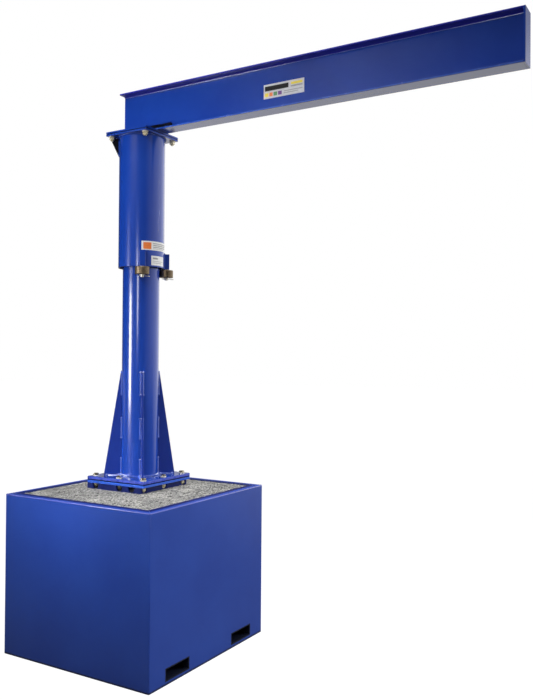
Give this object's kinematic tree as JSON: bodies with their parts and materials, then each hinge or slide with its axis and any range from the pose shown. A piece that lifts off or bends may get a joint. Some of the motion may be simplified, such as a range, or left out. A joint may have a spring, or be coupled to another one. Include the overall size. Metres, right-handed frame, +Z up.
{
  "type": "free-standing jib crane",
  "caption": "Jib crane whose boom swings all round on a mast bolted to a concrete-filled steel tub with fork pockets, so that it can be moved by a lift truck.",
  "frame": {"origin": "on the floor under the mast axis, at the centre of the tub's underside", "axes": "+Z up along the mast axis, +X along the boom at rest, +Y to the left of the boom"},
  "size_m": [2.7944, 1.0922, 3.3048],
  "materials": {
    "blue_paint": "glossy blue machine enamel, lightly worn at edges",
    "concrete": "rough troweled concrete with dark specks",
    "zinc_fasteners": "pale yellow zinc plating",
    "turned_steel": "turned, oiled",
    "bronze": "turned bearing bronze",
    "dark_steel": "dark mill finish",
    "roller_steel": "brown oxidised steel with a bright running band"
  },
  "bodies": {
    "base": {"tub_wall_front": "blue_paint", "tub_wall_rear": "blue_paint", "tub_wall_left": "blue_paint", "tub_wall_right": "blue_paint", "tub_floor": "blue_paint", "fork_pocket_left": "blue_paint", "fork_pocket_right": "blue_paint", "concrete_fill": "concrete", "anchor_frame": "blue_paint", "anchor_plate": "blue_paint", "mast_base_plate": "blue_paint", "base_bolts": "zinc_fasteners", "mast_tube": "blue_paint", "mast_gusset_front_left": "blue_paint", "mast_gusset_front_right": "blue_paint", "mast_gusset_rear_left": "blue_paint", "mast_gusset_rear_right": "blue_paint", "mast_cap": "blue_paint", "pivot_spindle": "turned_steel", "thrust_washer": "bronze"},
    "jib": {"bearing_hub": "turned_steel", "sleeve_tube": "blue_paint", "sleeve_head_plate": "blue_paint", "head_gusset_left": "dark_steel", "head_gusset_right": "dark_steel", "boom_seat_plate": "blue_paint", "head_bolts": "zinc_fasteners", "boom_beam": "blue_paint", "boom_end_plate": "blue_paint", "flange_bar_left": "dark_steel", "flange_bar_right": "dark_steel", "roller_bracket_left": "blue_paint", "roller_bracket_right": "blue_paint", "roller_axle_left": "zinc_fasteners", "roller_axle_right": "zinc_fasteners"},
    "roller_left": {"roller_left": "roller_steel"},
    "roller_right": {"roller_right": "roller_steel"}
  },
  "joints": [
    {"name": "boom_swing", "type": "hinge", "parent": "base", "child": "jib", "pos_m": [0, 0, 3], "axis": [0, 0, 1], "continuous": true},
    {"name": "roller_left_spin", "type": "hinge", "parent": "jib", "child": "roller_left", "pos_m": [0.10127, 0.11248, 2.213], "axis": [0, 0, 1], "continuous": true},
    {"name": "roller_right_spin", "type": "hinge", "parent": "jib", "child": "roller_right", "pos_m": [0.10127, -0.11248, 2.213], "axis": [0, 0, 1], "continuous": true}
  ],
  "couplings": [
    {"joint": "roller_left_spin", "follows": "boom_swing", "ratio": 2.6398},
    {"joint": "roller_right_spin", "follows": "boom_swing", "ratio": 2.6398}
  ]
}
